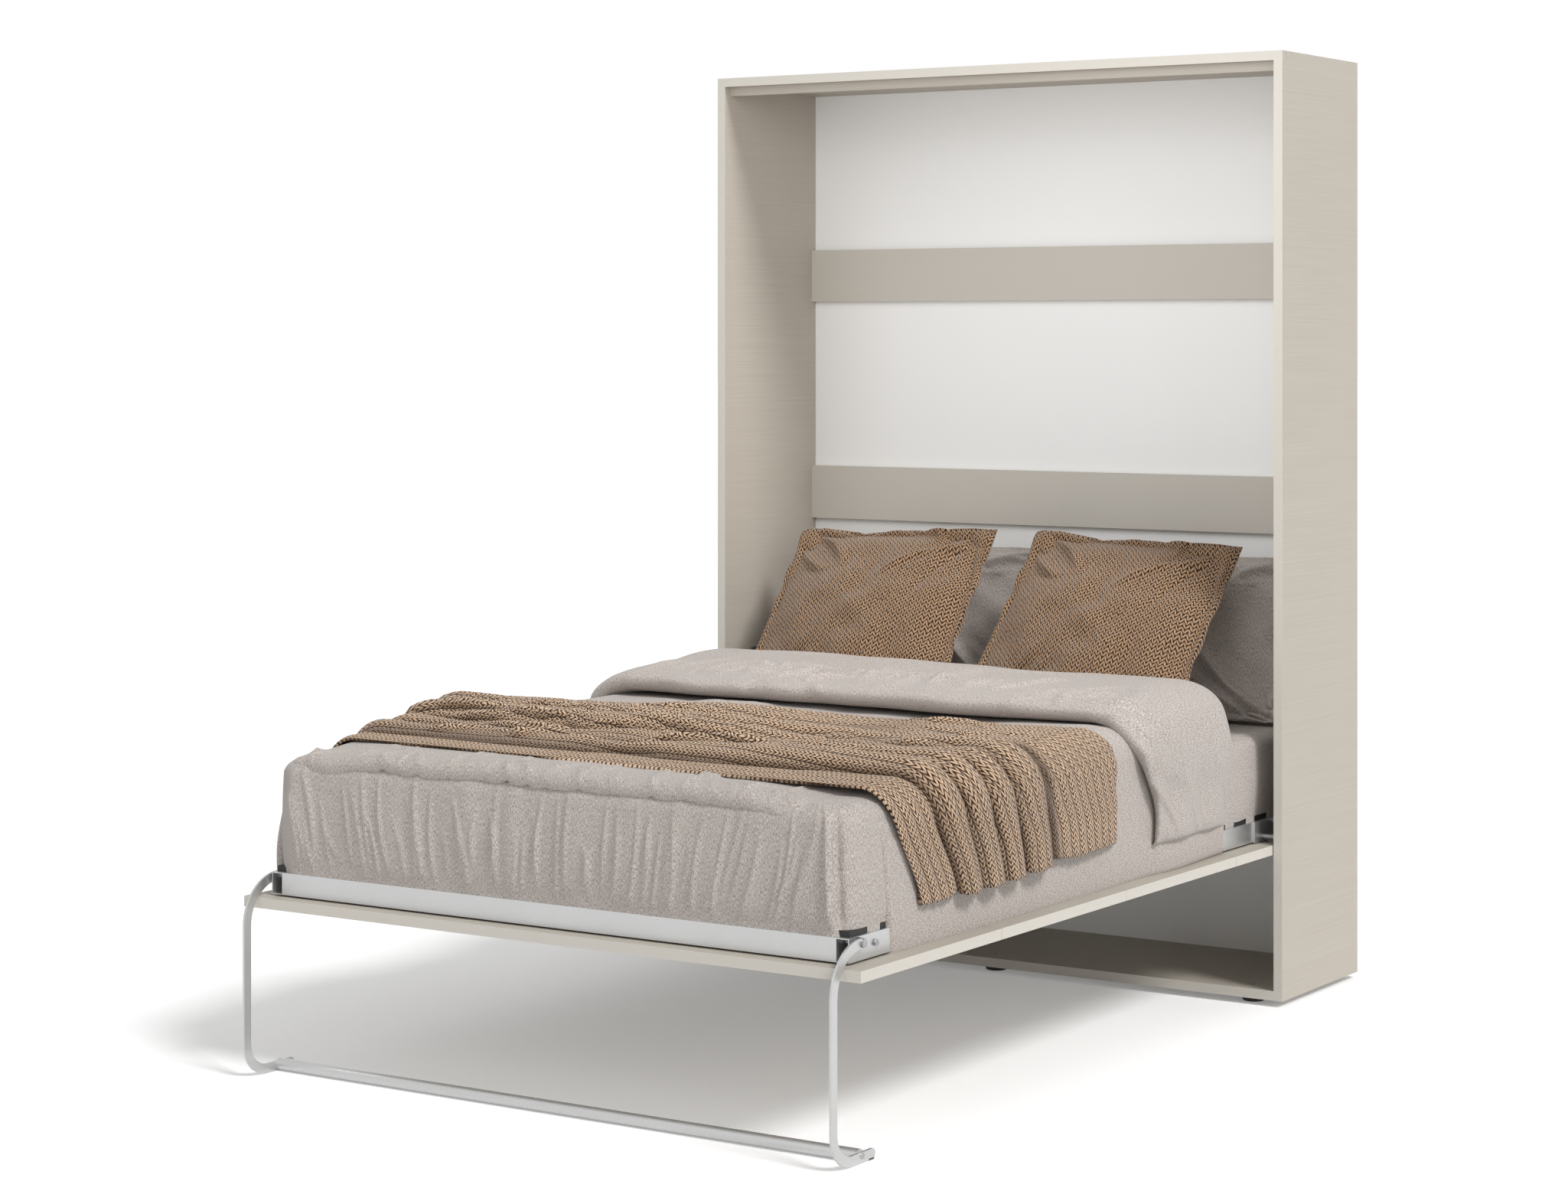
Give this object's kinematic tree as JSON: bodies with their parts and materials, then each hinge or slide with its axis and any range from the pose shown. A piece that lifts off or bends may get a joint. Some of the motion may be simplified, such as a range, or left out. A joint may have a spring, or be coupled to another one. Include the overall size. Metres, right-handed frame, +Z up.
{
  "type": "vertical wall bed",
  "caption": "Vertical wall bed, opened: shallow cabinet, four-board door carrying a steel mattress frame, folding U-shaped leg, gas springs, mattress and bedding.",
  "frame": {"origin": "on the floor, under the middle of the opened bed's outer box", "axes": "+X across the bed, to the right seen from its foot; +Y from the foot of the bed towards the wall; +Z up"},
  "size_m": [1.58, 2.215, 2.219],
  "materials": {
    "beige_board": "satin",
    "white_sheet": "satin",
    "zinc_steel": "satin",
    "beech": "matte",
    "birch_plywood": "satin",
    "black_plastic": "matte",
    "grey_rubber": "matte",
    "silver_paint": "satin",
    "bright_steel": "satin",
    "black_paint": "satin",
    "mattress_cover": "matte",
    "melange_weave": "matte",
    "brown_knit": "matte"
  },
  "bodies": {
    "cabinet": {"side_panel_left": "beige_board", "side_panel_right": "beige_board", "top_panel": "beige_board", "bottom_panel": "beige_board", "foot_sleeves": "zinc_steel", "cabinet_screws": "zinc_steel", "rail_dowels": "beech", "top_batten": "beige_board", "upper_back_rail": "beige_board", "lower_back_rail": "beige_board", "back_sheet_lower": "white_sheet", "back_sheet_middle": "white_sheet", "back_sheet_upper": "white_sheet", "wall_brackets": "zinc_steel", "bearing_plates": "zinc_steel", "pivot_bushes": "black_plastic", "spring_brackets": "zinc_steel"},
    "bed": {"door_board_1": "beige_board", "door_board_2": "beige_board", "door_board_3": "beige_board", "door_board_4": "beige_board", "door_fixings": "zinc_steel", "frame_spacers": "black_plastic", "pivot_plates": "silver_paint", "pivot_pins": "bright_steel", "spring_studs": "zinc_steel", "side_tube_left": "silver_paint", "side_tube_right": "silver_paint", "foot_beam": "silver_paint", "head_beam": "silver_paint", "cross_tubes": "silver_paint", "slats": "birch_plywood", "slat_holders": "black_plastic", "leg_bushes": "black_plastic", "leg_bolts": "bright_steel", "side_studs": "bright_steel", "mattress": "mattress_cover", "duvet": "melange_weave", "duvet_turnback": "melange_weave", "knitted_throw": "brown_knit", "pillow_left": "melange_weave", "pillow_right": "melange_weave", "cushion_left": "brown_knit", "cushion_right": "brown_knit"},
    "leg": {"leg_left": "silver_paint", "leg_right": "silver_paint", "toe_pads": "grey_rubber", "foot_screws": "bright_steel", "foot_bar": "silver_paint"},
    "spring_cylinder_left": {"spring_cylinder_left": "black_paint"},
    "spring_cylinder_right": {"spring_cylinder_right": "black_paint"},
    "spring_rod_left": {"spring_rod_left": "bright_steel"},
    "spring_rod_right": {"spring_rod_right": "bright_steel"},
    "foot_front_left": {"foot_front_left": "black_plastic"},
    "foot_front_middle": {"foot_front_middle": "black_plastic"},
    "foot_front_right": {"foot_front_right": "black_plastic"},
    "foot_rear_left": {"foot_rear_left": "black_plastic"},
    "foot_rear_middle": {"foot_rear_middle": "black_plastic"},
    "foot_rear_right": {"foot_rear_right": "black_plastic"}
  },
  "joints": [
    {"name": "bed_fold", "type": "hinge", "parent": "cabinet", "child": "bed", "pos_m": [0, 0.721, 0.3845], "axis": [-1, 0, 0], "range_deg": [0, 90], "deforming": ["duvet", "duvet_turnback", "knitted_throw", "pillow_left", "pillow_right", "cushion_left", "cushion_right"]},
    {"name": "leg_fold", "type": "hinge", "parent": "bed", "child": "leg", "pos_m": [0, -0.9995, 0.41], "axis": [-1, 0, 0], "range_deg": [0, 223]},
    {"name": "spring_tilt_left", "type": "hinge", "parent": "cabinet", "child": "spring_cylinder_left", "pos_m": [-0.746, 0.8255, 0.715], "axis": [-1, 0, 0], "range_deg": [0, 2.38]},
    {"name": "spring_slide_left", "type": "slide", "parent": "spring_cylinder_left", "child": "spring_rod_left", "axis": [0, -0.1465, -0.9892], "range_m": [0, 0.09378]},
    {"name": "spring_tilt_right", "type": "hinge", "parent": "cabinet", "child": "spring_cylinder_right", "pos_m": [0.746, 0.8255, 0.715], "axis": [-1, 0, 0], "range_deg": [0, 2.38]},
    {"name": "spring_slide_right", "type": "slide", "parent": "spring_cylinder_right", "child": "spring_rod_right", "axis": [0, -0.1465, -0.9892], "range_m": [0, 0.09378]},
    {"name": "foot_front_left_screw", "type": "slide", "parent": "cabinet", "child": "foot_front_left", "axis": [0, 0, -1], "range_m": [0, 0.01]},
    {"name": "foot_front_middle_screw", "type": "slide", "parent": "cabinet", "child": "foot_front_middle", "axis": [0, 0, -1], "range_m": [0, 0.01]},
    {"name": "foot_front_right_screw", "type": "slide", "parent": "cabinet", "child": "foot_front_right", "axis": [0, 0, -1], "range_m": [0, 0.01]},
    {"name": "foot_rear_left_screw", "type": "slide", "parent": "cabinet", "child": "foot_rear_left", "axis": [0, 0, -1], "range_m": [0, 0.01]},
    {"name": "foot_rear_middle_screw", "type": "slide", "parent": "cabinet", "child": "foot_rear_middle", "axis": [0, 0, -1], "range_m": [0, 0.01]},
    {"name": "foot_rear_right_screw", "type": "slide", "parent": "cabinet", "child": "foot_rear_right", "axis": [0, 0, -1], "range_m": [0, 0.01]}
  ],
  "couplings": [
    {"joint": "leg_fold", "follows": "bed_fold", "ratio": 2.4778},
    {"joint": "spring_tilt_left", "follows": "bed_fold", "ratio": 0.026418},
    {"joint": "spring_slide_left", "follows": "bed_fold", "m_per_rad": 0.059693},
    {"joint": "spring_tilt_right", "follows": "bed_fold", "ratio": 0.026418},
    {"joint": "spring_slide_right", "follows": "bed_fold", "m_per_rad": 0.059693}
  ]
}
